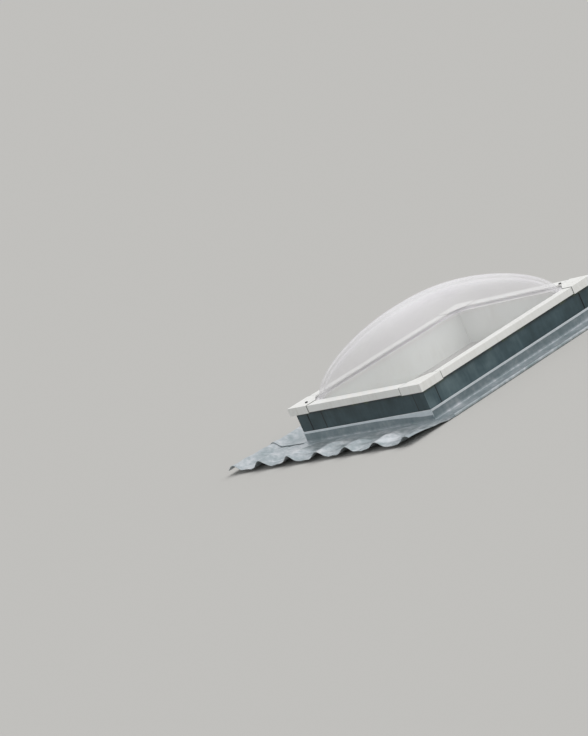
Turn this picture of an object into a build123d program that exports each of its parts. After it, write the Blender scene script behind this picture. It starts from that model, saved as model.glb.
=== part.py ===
"""Rectangular domed rooflight on a raised kerb, with its frame and its flashing.

The roof deck is the XY plane, +Z stands out of the roof, +Y points up the slope and the
origin is the centre of the roof opening. All sizes are in millimetres.

Every length of frame, kerb and cladding is drawn as a section in its own side's plane: the
first sketch axis runs inward from the outer edge of the frame, the second runs up from the
deck. The four sides share that edge, so their mitres meet on the corner diagonals.
"""
from build123d import *
from math import cos, pi
import os

os.makedirs("parts", exist_ok=True)

# Roof opening and kerb
opening_width = 750.0
opening_length = 1000.0
kerb_wall = 60.0
kerb_height = 150.0
kerb_skin = 3.0
kerb_chambers = 3

# Frame, from the kerb upwards
frame_overhang = 20.0
seal_thickness = 2.5
seal_width = 22.0
seal_from_inside = 6.0
base_rail_depth = 8.5
base_rail_skin = 2.5
base_rail_web_from_screw = 4.0
base_rail_hook = 5.5
inner_lip_depth = 16.0
inner_lip_skin = 3.0
gasket_thickness = 1.0
spacer_thickness = 1.0
capping_web = 2.0
capping_cavity = 2.0
capping_plate = 2.5
capping_edge_radius = 1.5
fascia_height = 32.0
fascia_skin = 2.5
fascia_clearance = 1.5

# Dome skins
outer_skin = 3.0
inner_skin = 2.5
skin_gap = 14.0
dome_inset = 60.0
dome_rise = 236.0
dome_corner_radius = 140.0
dome_crown_straight_share = 0.05
dome_roundness_power = 2.5
dome_height_power = 1.4
dome_plan_power = 2.8
dome_levels = [0.0, 0.07, 0.18, 0.33, 0.5, 0.67, 0.82, 0.93, 0.98, 0.997]
dome_clearance = 3.0
flange_clearance = 1.0
gasket_width = 13.0

# Corner caps of the frame
corner_cap_leg = 136.0
corner_cap_skin = 2.0
corner_cap_drop = 3.0
corner_cap_web = 78.0
corner_cap_hook = 14.0
corner_cap_hook_depth = 3.0

# Screws that clamp the frame, and their cover caps
screw_inset = 42.0
screw_from_corner = 92.0
second_screw_from_corner = 157.0
screws_along = 2
screw_radius = 2.4
screw_clearance = 0.3
screw_length = 36.0
screw_head_radius = 4.5
screw_head_height = 1.8
access_radius = 6.0
plug_clearance = 0.1
plug_head_radius = 8.5
plug_head_height = 1.5
plug_head_taper = 45.0
tall_cap_radius = 7.0
tall_cap_height = 5.0
tall_cap_taper = 15.0

# Cladding of the kerb
cladding_skin = 1.5
cladding_foot_gap = 2.0
cladding_head_gap = 1.0
cladding_seam_from_edge = 190.0
cladding_seam_gap = 1.0
cover_leg = 74.0
cover_skin = 1.2
cover_foot_gap = 2.0

# Flashing
flashing_skin = 1.8
flashing_upstand = 52.0
welt_depth = 9.0
welt_gap = 0.4
flashing_joint_gap = 0.5
gutter_width = 130.0
gutter_edge_height = 14.0
left_cover_width = 265.0
back_gutter_depth = 190.0
apron_reach = 280.0
apron_tail_rise = 12.0
apron_dressing_length = 220.0
roll_pitch = 200.0
roll_width = 150.0
roll_shape_power = 1.5
roll_height = 28.0
first_roll_from_kerb = 225.0
apron_points_per_roll = 12

# Half sizes and levels worked out from the above
kerb_inner_edge = frame_overhang + kerb_wall
frame_x = opening_width / 2 + kerb_inner_edge
frame_y = opening_length / 2 + kerb_inner_edge
kerb_x = frame_x - frame_overhang
rail_level = kerb_height + seal_thickness
deck_level = rail_level + base_rail_depth
inner_level = deck_level + gasket_thickness
spacer_level = inner_level + inner_skin
outer_level = spacer_level + spacer_thickness
capping_level = outer_level + outer_skin
head_level = capping_level + capping_web
plate_level = head_level + capping_cavity
top_level = plate_level + capping_plate
fascia_foot = top_level - fascia_height
capping_width = dome_inset - dome_clearance
flange_edge = fascia_skin + fascia_clearance + flange_clearance
cladding_face = frame_overhang - cladding_skin
cover_face = cladding_face - cover_skin
cover_foot = flashing_upstand + cover_foot_gap
cladding_head = kerb_height - cladding_head_gap
base_edge = fascia_skin + fascia_clearance

corners = {
    "front_left": (-1, -1),
    "front_right": (1, -1),
    "back_right": (1, 1),
    "back_left": (-1, 1),
}

# Each side: its outer edge's midpoint, the direction of its run, and half of its run
sides = {
    "front": (Vector(0, -frame_y, 0), Vector(1, 0, 0), frame_x),
    "right": (Vector(frame_x, 0, 0), Vector(0, 1, 0), frame_y),
    "back": (Vector(0, frame_y, 0), Vector(-1, 0, 0), frame_x),
    "left": (Vector(-frame_x, 0, 0), Vector(0, -1, 0), frame_y),
}


def inward(run):
    """Direction from a side's outer edge to the middle of the opening."""
    return Vector(0, 0, 1).cross(run)


def section_plane(side):
    """Plane of a side's section: first axis inward, second axis up, normal along the run."""
    start, run, _ = sides[side]
    return Plane(origin=start, x_dir=inward(run), z_dir=run)


def mitre_planes(side):
    """The two upright planes on the corner diagonals that end a side's run."""
    start, run, half_run = sides[side]
    for sign in (1, -1):
        outward = run * sign + inward(run)
        yield Plane(origin=start + run * (sign * half_run), z_dir=outward)


def rectangle_between(low, high, mode=Mode.ADD):
    """A rectangle in a section, from its low corner to its high corner."""
    middle = ((low[0] + high[0]) / 2, (low[1] + high[1]) / 2)
    with Locations(middle):
        Rectangle(high[0] - low[0], high[1] - low[1], mode=mode)


def mitred_run(side, section):
    """Extrude a section along a side and cut both ends on the corner diagonals."""
    half_run = sides[side][2]
    extrude(section, amount=half_run + kerb_inner_edge, both=True)
    for plane in mitre_planes(side):
        split(bisect_by=plane, keep=Keep.BOTTOM)


def frame_screw_points():
    """Plan places of the screws that clamp the frame."""
    points = []
    for sx, sy in corners.values():
        points.append((sx * (frame_x - screw_from_corner), sy * (frame_y - screw_inset)))
        points.append((sx * (frame_x - screw_inset), sy * (frame_y - screw_from_corner)))
    clear_y = frame_y - corner_cap_leg
    for sign in (-1, 1):
        for end in (-1, 1):
            along = end * (frame_x - second_screw_from_corner)
            points.append((along, sign * (frame_y - screw_inset)))
        for i in range(screws_along):
            along = clear_y * ((2 * i + 1) / screws_along - 1)
            points.append((sign * (frame_x - screw_inset), along))
    return points


screw_points = frame_screw_points()
corner_screw_points = screw_points[: 2 * len(corners)]
# The two screws with tall black caps: one on the front, one on the back
tall_corner_point = screw_points[0]
tall_rail_point = screw_points[-3]


def drill(points, radius, low, high):
    """Cut upright holes between two levels."""
    with BuildSketch(Plane.XY.offset(low)) as holes:
        with Locations(*points):
            Circle(radius)
    extrude(holes.sketch, amount=high - low, mode=Mode.SUBTRACT)


def ring(outer_edge, inner_edge, low, high):
    """A flat ring round the opening between two distances from the frame's outer edge."""
    with BuildSketch(Plane.XY.offset(low)) as outline:
        Rectangle(2 * (frame_x - outer_edge), 2 * (frame_y - outer_edge))
        Rectangle(2 * (frame_x - inner_edge), 2 * (frame_y - inner_edge), mode=Mode.SUBTRACT)
    extrude(outline.sketch, amount=high - low)


def dome_bulge(inset, radius, rise, low, mode=Mode.ADD):
    """A domed solid: rounded rectangles that shrink to the crown and turn rounder."""
    half_x = frame_x - inset
    half_y = frame_y - inset
    sections = []
    for level in dome_levels:
        swell = (1 - level ** dome_height_power) ** (1 / dome_plan_power)
        base_roundness = radius / half_x
        crown_roundness = 1 - dome_crown_straight_share
        turn = level ** dome_roundness_power
        roundness = base_roundness + (crown_roundness - base_roundness) * turn
        with BuildSketch(Plane.XY.offset(low + rise * level)) as outline:
            RectangleRounded(2 * half_x * swell, 2 * half_y * swell, roundness * half_x * swell)
        sections.append(outline.sketch)
    loft(sections, mode=mode)


def dome_skin(inset, radius, rise, low, skin):
    """A flanged dome of one moulded sheet."""
    with BuildSketch(Plane.XY.offset(low)) as flange:
        Rectangle(2 * (frame_x - flange_edge), 2 * (frame_y - flange_edge))
    extrude(flange.sketch, amount=skin)
    dome_bulge(inset, radius, rise, low)
    dome_bulge(inset + skin, radius - skin, rise - skin, low, mode=Mode.SUBTRACT)
    drill(screw_points, screw_radius + screw_clearance, low, low + skin)


def finish(builder, name):
    """Name a finished piece and write it."""
    builder.part.label = name
    export_step(builder.part, f"parts/{name}.step")


# Kerb: four lengths of hollow profile, welded at the mitres
chamber_height = (kerb_height - (kerb_chambers + 1) * kerb_skin) / kerb_chambers

for side in sides:
    with BuildPart() as kerb:
        with BuildSketch(section_plane(side)) as section:
            rectangle_between((frame_overhang, 0), (kerb_inner_edge, kerb_height))
            for chamber in range(kerb_chambers):
                foot = kerb_skin + chamber * (chamber_height + kerb_skin)
                rectangle_between(
                    (frame_overhang + kerb_skin, foot),
                    (kerb_inner_edge - kerb_skin, foot + chamber_height),
                    mode=Mode.SUBTRACT,
                )
        mitred_run(side, section.sketch)
        drill(screw_points, screw_radius, kerb_height - kerb_skin, kerb_height)
    finish(kerb, f"kerb_{side}")

# Seal between the kerb and the frame, inside the line of the screws
seal_inner_edge = kerb_inner_edge - seal_from_inside
with BuildPart() as kerb_seal:
    ring(seal_inner_edge - seal_width, seal_inner_edge, kerb_height, rail_level)
finish(kerb_seal, "kerb_seal")

# Base rails: a hollow deck with a hook outside the kerb and a lip inside it
chamber_low = rail_level + base_rail_skin
chamber_high = deck_level - base_rail_skin
web_start = screw_inset + base_rail_web_from_screw
chamber_end = kerb_inner_edge - base_rail_skin
for side in sides:
    with BuildPart() as base_rail:
        with BuildSketch(section_plane(side)) as section:
            rectangle_between((base_edge, rail_level), (kerb_inner_edge, deck_level))
            rectangle_between(
                (base_edge, rail_level - base_rail_hook), (base_edge + base_rail_skin, rail_level)
            )
            rectangle_between(
                (kerb_inner_edge, deck_level - inner_lip_depth),
                (kerb_inner_edge + inner_lip_skin, deck_level),
            )
            rectangle_between(
                (base_edge + base_rail_skin, chamber_low), (web_start, chamber_high), mode=Mode.SUBTRACT
            )
            rectangle_between(
                (web_start + base_rail_skin, chamber_low), (chamber_end, chamber_high), mode=Mode.SUBTRACT
            )
        mitred_run(side, section.sketch)
        drill(screw_points, screw_radius + screw_clearance, rail_level, deck_level)
    finish(base_rail, f"base_rail_{side}")

# Inner skin of the dome on its gasket, which lies between the screws and the dome's foot
gasket_edge = dome_inset - gasket_width
with BuildPart() as inner_gasket:
    ring(gasket_edge, dome_inset, deck_level, inner_level)
finish(inner_gasket, "inner_gasket")

inner_inset = dome_inset + outer_skin + skin_gap
with BuildPart() as dome_inner:
    dome_skin(
        inner_inset,
        dome_corner_radius - outer_skin - skin_gap,
        dome_rise - outer_skin - skin_gap,
        inner_level,
        inner_skin,
    )
finish(dome_inner, "dome_inner")

# Outer skin of the dome on the spacer that keeps the skins apart
with BuildPart() as skin_spacer:
    ring(gasket_edge, dome_inset, spacer_level, outer_level)
finish(skin_spacer, "skin_spacer")

with BuildPart() as dome_outer:
    dome_skin(dome_inset, dome_corner_radius, dome_rise, outer_level, outer_skin)
finish(dome_outer, "dome_outer")

# Capping rails: a hollow top with the fascia, clamped over the rim of the dome
for side in sides:
    with BuildPart() as capping:
        with BuildSketch(section_plane(side)) as section:
            rectangle_between((0, capping_level), (capping_width, top_level))
            rectangle_between((0, fascia_foot), (fascia_skin, capping_level))
            fillet(section.vertices().group_by(Axis.Y)[-1], capping_edge_radius)
            rectangle_between(
                (2 * fascia_skin, head_level),
                (capping_width - fascia_skin, plate_level),
                mode=Mode.SUBTRACT,
            )
        mitred_run(side, section.sketch)
        drill(screw_points, screw_radius + screw_clearance, capping_level, head_level)
        drill(screw_points, access_radius, head_level, top_level)
    finish(capping, f"capping_{side}")


def corner_outline(corner, leg, width, skin):
    """Plan of an L on a corner of the frame, skin standing outside the frame's edge."""
    sx, sy = corners[corner]
    reach = [(-skin, -skin), (leg, -skin), (leg, width), (width, width), (width, leg), (-skin, leg)]
    with BuildLine() as outline:
        Polyline([(sx * (frame_x - a), sy * (frame_y - b)) for a, b in reach], close=True)
    make_face(outline.edges())


def corner_hooks(corner):
    """Plan of the two hooks that hold a corner cap under the fascia."""
    sx, sy = corners[corner]
    middle = corner_cap_leg - corner_cap_hook / 2
    across = corner_cap_skin + fascia_skin
    offset_in = across / 2 - corner_cap_skin
    with Locations((sx * (frame_x - middle), sy * (frame_y - offset_in))):
        Rectangle(corner_cap_hook, across)
    with Locations((sx * (frame_x - offset_in), sy * (frame_y - middle))):
        Rectangle(across, corner_cap_hook)


# Corner caps: moulded covers over the mitres of the capping
cap_top = top_level + corner_cap_skin
cap_foot = fascia_foot - corner_cap_drop
for corner, (sx, sy) in corners.items():
    with BuildPart() as corner_cap:
        with BuildSketch(Plane.XY.offset(top_level)) as plate:
            corner_outline(corner, corner_cap_leg, capping_width, corner_cap_skin)
            inner_place = (sx * (frame_x - capping_width), sy * (frame_y - capping_width), top_level)
            inner_corner = plate.vertices().sort_by_distance(inner_place)[0]
            chamfer(inner_corner, corner_cap_web)
            fillet(plate.vertices().sort_by_distance((0, 0, 0))[-1], corner_cap_skin)
        extrude(plate.sketch, amount=corner_cap_skin)
        with BuildSketch(Plane.XY.offset(cap_foot)) as skirt:
            corner_outline(corner, corner_cap_leg, 0, corner_cap_skin)
            fillet(skirt.vertices().sort_by_distance((0, 0, 0))[-1], corner_cap_skin)
        extrude(skirt.sketch, amount=top_level - cap_foot)
        with BuildSketch(Plane.XY.offset(cap_foot)) as hooks:
            corner_hooks(corner)
        extrude(hooks.sketch, amount=corner_cap_hook_depth)
        fillet(corner_cap.edges().group_by(Axis.Z)[-1], corner_cap_skin / 2)
        drill(corner_screw_points, access_radius, top_level, cap_top)
    finish(corner_cap, f"corner_cap_{corner}")

# Screws that clamp the frame to the kerb
with BuildPart() as frame_screws:
    with BuildSketch(Plane.XY.offset(head_level)) as heads:
        with Locations(*screw_points):
            Circle(screw_head_radius)
    extrude(heads.sketch, amount=screw_head_height)
    with BuildSketch(Plane.XY.offset(head_level)) as shanks:
        with Locations(*screw_points):
            Circle(screw_radius)
    extrude(shanks.sketch, amount=-screw_length)
finish(frame_screws, "frame_screws")


def plugs(points, level, radius, height, taper):
    """Cover caps pressed into access holes, with their heads on a level."""
    with BuildSketch(Plane.XY.offset(plate_level)) as stems:
        with Locations(*points):
            Circle(access_radius - plug_clearance)
    extrude(stems.sketch, amount=level - plate_level)
    with BuildSketch(Plane.XY.offset(level)) as heads:
        with Locations(*points):
            Circle(radius)
    extrude(heads.sketch, amount=height, taper=taper)


# Cover caps of the screws: flat white ones, and two tall black ones
flat_cap = (plug_head_radius, plug_head_height, plug_head_taper)
tall_cap = (tall_cap_radius, tall_cap_height, tall_cap_taper)
rail_screw_points = screw_points[len(corner_screw_points):]
with BuildPart() as screw_covers:
    plugs([p for p in corner_screw_points if p != tall_corner_point], cap_top, *flat_cap)
    plugs([p for p in rail_screw_points if p != tall_rail_point], top_level, *flat_cap)
finish(screw_covers, "screw_covers")

with BuildPart() as black_screw_covers:
    plugs([tall_corner_point], cap_top, *tall_cap)
    plugs([tall_rail_point], top_level, *tall_cap)
finish(black_screw_covers, "black_screw_covers")


def cladding_section(side):
    """Section of a cladding sheet flat on the kerb."""
    with BuildSketch(section_plane(side)) as section:
        rectangle_between((cladding_face, cladding_foot_gap), (frame_overhang, cladding_head))
    return section.sketch


# Cladding sheets of the kerb; the front one is in two widths with an open seam
seam_x = cladding_seam_from_edge - frame_x
for side in sides:
    pieces = {f"cladding_{side}": None}
    if side == "front":
        pieces = {"cladding_front": Keep.TOP, "cladding_front_infill": Keep.BOTTOM}
    for name, keep in pieces.items():
        with BuildPart() as cladding:
            mitred_run(side, cladding_section(side))
            if keep:
                shift = cladding_seam_gap / 2 if keep == Keep.TOP else -cladding_seam_gap / 2
                split(bisect_by=Plane(origin=(seam_x + shift, 0, 0), z_dir=(1, 0, 0)), keep=keep)
        finish(cladding, name)

# Corner covers of the cladding: folded angles
for corner in corners:
    sx, sy = corners[corner]
    with BuildPart() as cover:
        with BuildSketch(Plane.XY.offset(cover_foot)) as angle:
            reach = [
                (cover_face, cover_face),
                (cover_face + cover_leg, cover_face),
                (cover_face + cover_leg, cladding_face),
                (cladding_face, cladding_face),
                (cladding_face, cover_face + cover_leg),
                (cover_face, cover_face + cover_leg),
            ]
            with BuildLine():
                Polyline([(sx * (frame_x - a), sy * (frame_y - b)) for a, b in reach], close=True)
            make_face()
        extrude(angle.sketch, amount=cladding_head - cover_foot)
    finish(cover, f"corner_cover_{corner}")

# Flashing: folded sheet, drawn by the middle of its thickness
half_skin = flashing_skin / 2
upstand_line = cladding_face - half_skin
welt_line = upstand_line - flashing_skin - welt_gap
upstand_top = flashing_upstand - half_skin


def upstand_points():
    """The upstand on the kerb with its top folded back as a welt, down to the deck."""
    return [
        (welt_line, upstand_top - welt_depth),
        (welt_line, upstand_top),
        (upstand_line, upstand_top),
        (upstand_line, half_skin),
    ]


def folded_sheet(side, points, along_low, along_high):
    """A straight length of folded sheet on a side, between two places along its run."""
    start, run, _ = sides[side]
    plane = Plane(origin=start + run * along_low, x_dir=inward(run), z_dir=run)
    with BuildSketch(plane) as section:
        with BuildLine():
            Polyline(points)
        trace(line_width=flashing_skin)
    extrude(section.sketch, amount=along_high - along_low)


gutter_edge = cladding_face - gutter_width
gutter_points = [
    (gutter_edge, half_skin),
    (gutter_edge, gutter_edge_height - half_skin),
    (gutter_edge + welt_depth, gutter_edge_height - half_skin),
]
side_joint = frame_y - cladding_face - flashing_joint_gap
corner_lap = frame_x - welt_line + half_skin

# Right side: a gutter whose outer edge is turned up and in
with BuildPart() as side_flashing_right:
    folded_sheet("right", upstand_points() + gutter_points, -side_joint, side_joint)
finish(side_flashing_right, "side_flashing_right")


def roll_rise(distance):
    """Height of a dressed roll at a distance from its crest line."""
    if abs(distance) >= roll_width / 2:
        return 0.0
    share = (1 + cos(2 * pi * distance / roll_width)) / 2
    return roll_height * share ** roll_shape_power


# Left side: flat beside the kerb, then dressed up over the next roll of the roof
first_roll_x = -(kerb_x + first_roll_from_kerb)
left_edge_x = -(kerb_x + left_cover_width)
roll_start = first_roll_x + roll_width / 2
dressing_steps = apron_points_per_roll
left_points = []
for i in range(dressing_steps + 1):
    x = roll_start + (left_edge_x - roll_start) * i / dressing_steps
    left_points.append((x + frame_x, half_skin + roll_rise(x - first_roll_x)))
with BuildPart() as side_flashing_left:
    folded_sheet("left", upstand_points() + left_points, -side_joint, side_joint)
finish(side_flashing_left, "side_flashing_left")

# Back gutter: wider than the kerb, with its far edge turned down the slope
back_edge = cladding_face - back_gutter_depth
back_points = [
    (back_edge, half_skin),
    (back_edge, gutter_edge_height - half_skin),
    (back_edge + welt_depth, gutter_edge_height - half_skin),
]
back_reach = frame_x - gutter_edge
with BuildPart() as back_gutter:
    folded_sheet("back", [(cladding_face, half_skin)] + back_points, -back_reach, back_reach)
    folded_sheet("back", upstand_points(), -corner_lap, corner_lap)
finish(back_gutter, "back_gutter")

# Front apron: straight at the fold, dressed over the rolls of the roof towards its tail
apron_right_x = kerb_x + gutter_width
fold_y = -(frame_y - cladding_face)
roll_crests = []
crest_x = first_roll_x
while crest_x - roll_width / 2 < apron_right_x:
    roll_crests.append(crest_x)
    crest_x += roll_pitch


def dressing(x, distance):
    """How far the sheet follows the roof at a distance from the fold: 0 not, 1 fully."""
    if x < roll_start:
        return 1.0
    share = min(distance / apron_dressing_length, 1.0)
    return share * share * (3 - 2 * share)


def apron_height(x, distance):
    """Underside of the apron above the deck."""
    rolls = sum(roll_rise(x - crest) for crest in roll_crests)
    tail = apron_tail_rise * distance / apron_reach
    return rolls * dressing(x, distance) + tail


def apron_section(distance):
    """Section of the apron across the rolls, at a distance from the fold."""
    steps = round((apron_right_x - left_edge_x) * apron_points_per_roll / roll_pitch)
    low = []
    for i in range(steps + 1):
        x = left_edge_x + (apron_right_x - left_edge_x) * i / steps
        low.append((x, apron_height(x, distance)))
    high = [(x, z + flashing_skin) for x, z in low]
    plane = Plane(origin=(0, fold_y - distance, 0), x_dir=(1, 0, 0), z_dir=(0, -1, 0))
    with BuildSketch(plane) as section:
        with BuildLine():
            Spline(*low)
            Line(low[-1], high[-1])
            Spline(*reversed(high))
            Line(high[0], low[0])
        make_face()
    return section.sketch


apron_stations = [0.0, 0.15, 0.3, 0.45, 0.7, 1.0]
with BuildPart() as front_apron:
    loft([apron_section(apron_reach * station) for station in apron_stations])
    folded_sheet("front", upstand_points(), -corner_lap, corner_lap)
finish(front_apron, "front_apron")
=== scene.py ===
"""Looks of a domed rooflight on its kerb, with its frame and its dressed lead flashing.

Lengths are in metres in the frame of the CAD part: its underside lies in the XY plane, +Z
points to the dome, +Y up the slope, and the origin is the centre of the kerb's opening.
"""
import math

import bmesh
import bpy
from bpy.props import FloatProperty, FloatVectorProperty, PointerProperty
from mathutils import Matrix, Vector, noise


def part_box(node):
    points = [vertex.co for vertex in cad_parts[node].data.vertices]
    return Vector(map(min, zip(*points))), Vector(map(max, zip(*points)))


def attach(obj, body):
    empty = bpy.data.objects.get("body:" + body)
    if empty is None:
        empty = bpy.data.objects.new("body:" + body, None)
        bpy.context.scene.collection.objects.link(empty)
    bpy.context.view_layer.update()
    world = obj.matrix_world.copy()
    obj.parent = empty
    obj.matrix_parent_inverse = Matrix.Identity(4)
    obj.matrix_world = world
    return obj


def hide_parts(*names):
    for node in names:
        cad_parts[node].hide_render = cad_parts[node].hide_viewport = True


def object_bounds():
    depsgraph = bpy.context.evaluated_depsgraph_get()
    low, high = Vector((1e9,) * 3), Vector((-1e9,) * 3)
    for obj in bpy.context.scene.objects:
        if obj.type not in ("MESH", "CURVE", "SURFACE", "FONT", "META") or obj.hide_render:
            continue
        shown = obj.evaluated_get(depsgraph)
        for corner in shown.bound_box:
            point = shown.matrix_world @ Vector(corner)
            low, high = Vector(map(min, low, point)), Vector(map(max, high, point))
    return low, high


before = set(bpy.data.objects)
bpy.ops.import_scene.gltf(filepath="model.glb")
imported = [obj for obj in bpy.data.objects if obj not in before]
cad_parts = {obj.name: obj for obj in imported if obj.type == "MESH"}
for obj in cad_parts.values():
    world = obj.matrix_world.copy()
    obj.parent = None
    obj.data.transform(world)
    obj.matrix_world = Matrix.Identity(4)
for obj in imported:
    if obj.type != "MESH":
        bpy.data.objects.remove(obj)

bl_info = {
    "name": "Domed Rooflight",
    "version": (1, 0, 0),
    "blender": (4, 5, 0),
    "location": "View3D > Sidebar > Rooflight",
    "description": "Builds the looks of a domed rooflight around its CAD frame",
    "category": "Object",
}

cad_low, cad_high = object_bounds()
mm = 0.001

# Places read from the CAD pieces
SIDES = ("front", "right", "back", "left")
CORNERS = ("front_left", "front_right", "back_right", "back_left")
CAPPING_INNER_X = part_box("capping_right")[0].x
CAPPING_INNER_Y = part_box("capping_back")[0].y
FASCIA_LEVEL, TOP_LEVEL = (corner.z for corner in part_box("capping_front"))
CLADDING_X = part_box("cladding_right")[1].x
CLADDING_Y = -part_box("cladding_front")[0].y
OUTER_LOW, OUTER_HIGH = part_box("dome_outer")
INNER_LOW, INNER_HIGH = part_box("dome_inner")
APRON_LOW, APRON_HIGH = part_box("front_apron")
LEFT_LOW, LEFT_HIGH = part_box("side_flashing_left")
RIGHT_LOW, RIGHT_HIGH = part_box("side_flashing_right")
BACK_LOW, BACK_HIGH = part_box("back_gutter")

# Each side's direction outward, its run from the left as one faces it, and its cladding
SIDE_FACES = {
    "front": (Vector((0, -1, 0)), Vector((1, 0, 0)), CLADDING_Y),
    "right": (Vector((1, 0, 0)), Vector((0, 1, 0)), CLADDING_X),
    "back": (Vector((0, 1, 0)), Vector((-1, 0, 0)), CLADDING_Y),
    "left": (Vector((-1, 0, 0)), Vector((0, -1, 0)), CLADDING_X),
}

# Vertices of a dome skin: round its plan, and from foot to crown on each face
AROUND = 288
ROWS = 56
# Vertices closer than this are one
MERGED = 0.01 * mm

# Grids of the lead: steps along a fold and across it, arcs, and counts for the apron
STEP_ALONG = 7 * mm
STEP_ACROSS = 9 * mm
ARC_STEPS = 4
ROLL_STEPS = 24
APRON_COLUMNS = 250
APRON_ROWS = 70
STAND_COLUMNS = 150
WELT_STEPS = 5
# Longer pieces of a rounded path than this are straight
STRAIGHT = 6 * mm
# Share of the fold's radius at which the apron starts where there is no fold
NO_FOLD_SHARE = 0.2

# Hand dressing: width of the dents, the size and share of the finer ones among them, and
# what is left of them on the stiff upstand; the calm length beside a fold; the skew, pitch
# and run of the long creases; the waves of the tail; and where the front welt starts to widen
APRON_DENT = 55 * mm
STRIP_DENT = 60 * mm
FINE_SIZE = 0.37
FINE_SHARE = 0.35
STAND_DENT_SHARE = 0.15
CALM = 40 * mm
CREASE_SKEW = 0.8
CREASE_PITCH = 75 * mm
CREASE_RUN = 300 * mm
TAIL_WAVE = 45 * mm
TAIL_WAVE_DEPTH = 5 * mm
WELT_START = -20 * mm

# Painted light on the lead. The upstand, painted in shade, lies within a reach of the cladding and
# above its foot; its folded edge, painted with a highlight, stands farther out and higher up. The
# apron has painted highlights along its creases, in patches.
STAND_REACH = 8 * mm
STAND_FOOT = 6 * mm
WELT_REACH = 2.1 * mm
WELT_FOOT = 20 * mm
HIGHLIGHT_FROM = 25 * mm
HIGHLIGHT_PATCH = 90 * mm
HIGHLIGHT_GAIN = 4.0
CREASE_WIDTH = 0.13

# The stage: half the floor's width, its gap to the part, where the light comes from, and the
# point at which the camera looks, level with the frame's top
FLOOR_HALF = 300.0
FLOOR_GAP = 0.5 * mm
LIGHT_FROM = Vector((0.42, 0.34, 0.84))
CAMERA_TARGET = Vector((-1.14076, 0.07214, TOP_LEVEL))


def colour(code):
    """An sRGB hex colour as the linear values that Blender works with."""
    values = [int(code[i : i + 2], 16) / 255 for i in (0, 2, 4)]
    linear = [v / 12.92 if v <= 0.04045 else ((v + 0.055) / 1.055) ** 2.4 for v in values]
    return (*linear, 1.0)


def add(tree, kind, inputs=None, stops=(), **settings):
    """Add a node: its settings, each input as a value or as a link, and its ramp's stops.

    Inputs are a list in the order of the sockets, or a dictionary by their names or numbers.
    A link is a socket, or a node for its first output. Stops are pairs of place and colour.
    """
    made = tree.nodes.new(kind)
    for name, value in settings.items():
        setattr(made, name, value)
    if not isinstance(inputs, dict):
        inputs = dict(enumerate(inputs or []))
    for key, value in inputs.items():
        if isinstance(value, bpy.types.Node):
            value = value.outputs[0]
        if isinstance(value, bpy.types.NodeSocket):
            tree.links.new(value, made.inputs[key])
        elif value is not None:
            made.inputs[key].default_value = value
    if stops:
        elements = made.color_ramp.elements
        while len(elements) < len(stops):
            elements.new(0.5)
        for element, (place, value) in zip(elements, stops):
            element.position = place
            element.color = value
    return made


def new_material(name):
    """An empty material and its node tree."""
    made = bpy.data.materials.new(name)
    made.use_nodes = True
    made.node_tree.nodes.clear()
    return made, made.node_tree


def close_material(tree, inputs, kind="ShaderNodeBsdfPrincipled"):
    """End a material in a shader with its inputs."""
    add(tree, "ShaderNodeOutputMaterial", [add(tree, kind, inputs)])


def overlaid(tree, shade, layers):
    """A shade with colours laid over it in turn, each by its share from 0 to 1."""
    for share, tint in layers:
        # The colour sockets of the mix node are found by number, since its names repeat
        mix = add(tree, "ShaderNodeMix", {0: share, 6: shade, 7: tint}, data_type="RGBA")
        shade = mix.outputs[2]
    return shade


def joint_grime(tree, place, across, along, seam=None):
    """Grime in the joints: 1 where |x| = across, |y| = along or x = seam, 0 a few mm beside."""
    core, edge = 1.5 * mm, 4.5 * mm
    split = add(tree, "ShaderNodeSeparateXYZ", [place])
    x, y = split.outputs[0], split.outputs[1]
    lines = [(x, "ABSOLUTE", across), (y, "ABSOLUTE", along)]
    if seam is not None:
        lines.append((x, "ADD", seam))
    # A metre is farther than any joint
    nearest = 1.0
    for axis, fold, line in lines:
        folded = add(tree, "ShaderNodeMath", [axis, 0.0], operation=fold)
        past = add(tree, "ShaderNodeMath", [folded, line], operation="SUBTRACT")
        away = add(tree, "ShaderNodeMath", [past], operation="ABSOLUTE")
        nearest = add(tree, "ShaderNodeMath", [away, nearest], operation="MINIMUM")
    return add(tree, "ShaderNodeMapRange", [nearest, core, edge, 1.0, 0.0])


def moulded_polycarbonate(name, dome):
    """Clear polycarbonate sheet, blown into a dome: glossy, with a milky veil from weathering."""
    made, tree = new_material(name)
    place = add(tree, "ShaderNodeTexCoord").outputs["Object"]
    # Dust and fine scratches lie in clouds about 150 mm wide
    pattern = {"Vector": place, "Scale": 1 / (150 * mm), "Detail": 4.0}
    clouds = add(tree, "ShaderNodeTexNoise", pattern)
    stops = [(0.3, dome.tint), (0.75, dome.veil)]
    shade = add(tree, "ShaderNodeValToRGB", [clouds], stops)
    # Seen at a flat angle the sheet mirrors more, so less passes through it. A clear
    # sheet's gloss rises with the fifth power of that angle's share.
    flat = add(tree, "ShaderNodeLayerWeight", {"Blend": 0.5}).outputs["Facing"]
    gloss = add(tree, "ShaderNodeMath", [flat, 5.0], operation="POWER")
    shut = add(tree, "ShaderNodeMath", [gloss, dome.gloss, dome.cover], operation="MULTIPLY_ADD")
    finish = {"Base Color": shade, "Roughness": dome.roughness, "IOR": 1.585, "Alpha": shut}
    close_material(tree, finish)
    return made


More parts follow.
